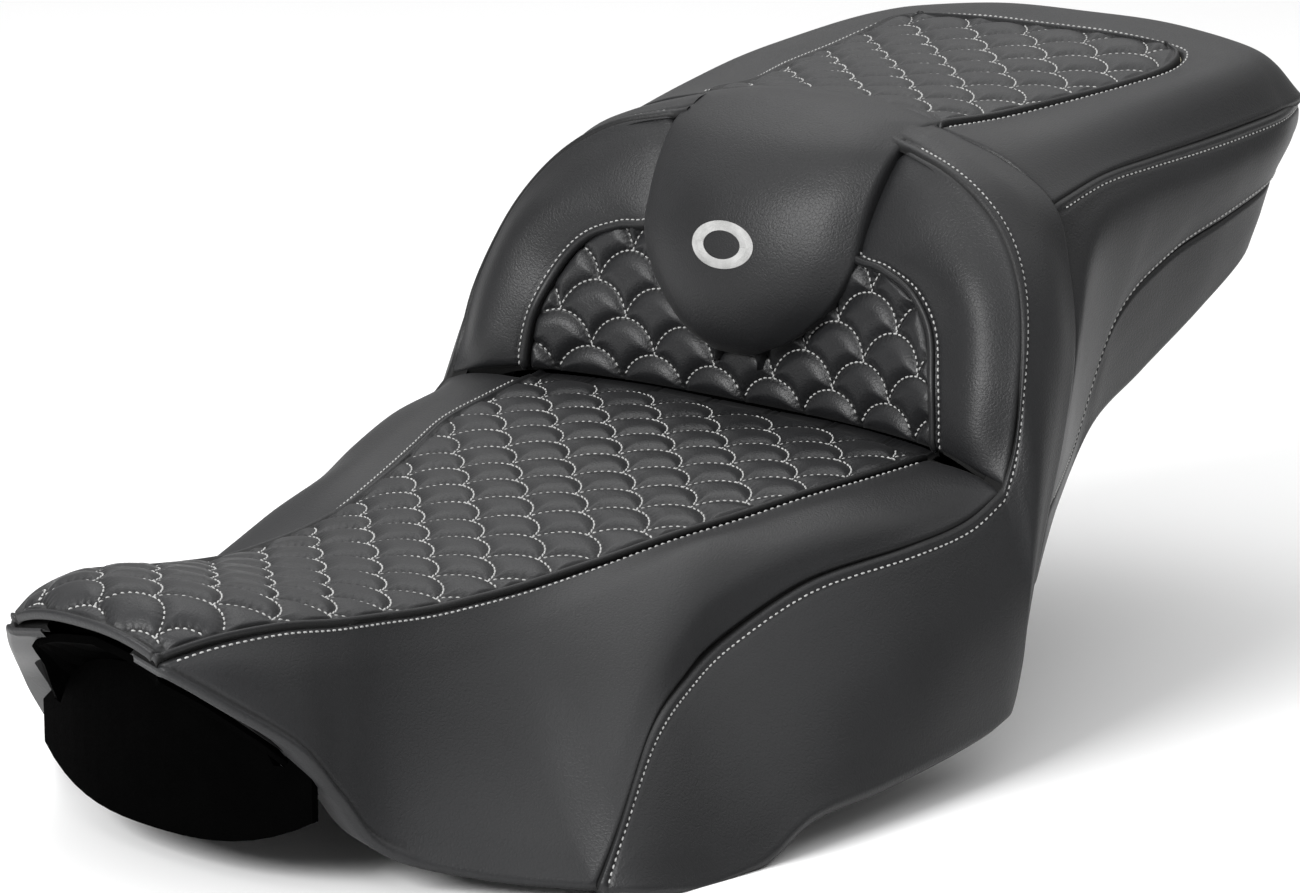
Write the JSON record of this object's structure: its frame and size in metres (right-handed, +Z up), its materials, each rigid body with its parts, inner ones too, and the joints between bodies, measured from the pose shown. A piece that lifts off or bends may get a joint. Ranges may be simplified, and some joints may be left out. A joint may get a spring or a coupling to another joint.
{
  "type": "motorcycle seat",
  "caption": "Two-up touring motorcycle seat with quilted rider bucket, built-in quilted backrest with lumbar tongue pad, raised quilted passenger pad, side skirts and moulded pan.",
  "frame": {"origin": "middle of the underside of the bounding box", "axes": "+X to the rider's left, -Y towards the nose (front), +Y towards the passenger end (rear), +Z up"},
  "size_m": [0.475, 0.8444, 0.347],
  "materials": {
    "quilted_vinyl": "fine-grained black vinyl, quilted",
    "cover_vinyl": "fine-grained black vinyl, satin",
    "binding": "smooth black vinyl cord",
    "pan_plastic": "moulded, matte",
    "foam": "cut moulded foam",
    "gel": "soft gel, semi-gloss",
    "light_thread": "spun thread, light grey",
    "hardware_steel": "black powder coat",
    "bumper_rubber": "matte"
  },
  "bodies": {
    "root": {"rider_quilted_panel": "quilted_vinyl", "backrest_quilted_insert": "quilted_vinyl", "pillion_quilted_panel": "quilted_vinyl", "rider_side_panel_left": "cover_vinyl", "rider_side_panel_right": "cover_vinyl", "lower_skirt_left": "cover_vinyl", "lower_skirt_right": "cover_vinyl", "backrest_wing_left": "cover_vinyl", "backrest_wing_right": "cover_vinyl", "lumbar_tongue_pad": "cover_vinyl", "pillion_top_border": "cover_vinyl", "pillion_side_panel_left": "cover_vinyl", "pillion_side_panel_right": "cover_vinyl", "pillion_lower_skirt_left": "cover_vinyl", "pillion_lower_skirt_right": "cover_vinyl", "rear_panel": "cover_vinyl", "insert_binding_left": "binding", "insert_binding_right": "binding", "seat_pan": "pan_plastic", "nose_apron": "pan_plastic", "rider_foam": "foam", "backrest_foam": "foam", "pillion_foam": "foam", "tongue_foam": "foam", "rider_gel_pad": "gel", "emblem_patch": "light_thread", "front_mount_bracket": "hardware_steel", "rear_mounting_tab": "hardware_steel", "front_bracket_rivet_1": "hardware_steel", "front_bracket_rivet_2": "hardware_steel", "rear_tab_rivet_1": "hardware_steel", "rear_tab_rivet_2": "hardware_steel", "rubber_bumper_1": "bumper_rubber", "rubber_bumper_2": "bumper_rubber", "rubber_bumper_3": "bumper_rubber", "rubber_bumper_4": "bumper_rubber", "rubber_bumper_5": "bumper_rubber", "rubber_bumper_6": "bumper_rubber"}
  },
  "joints": []
}
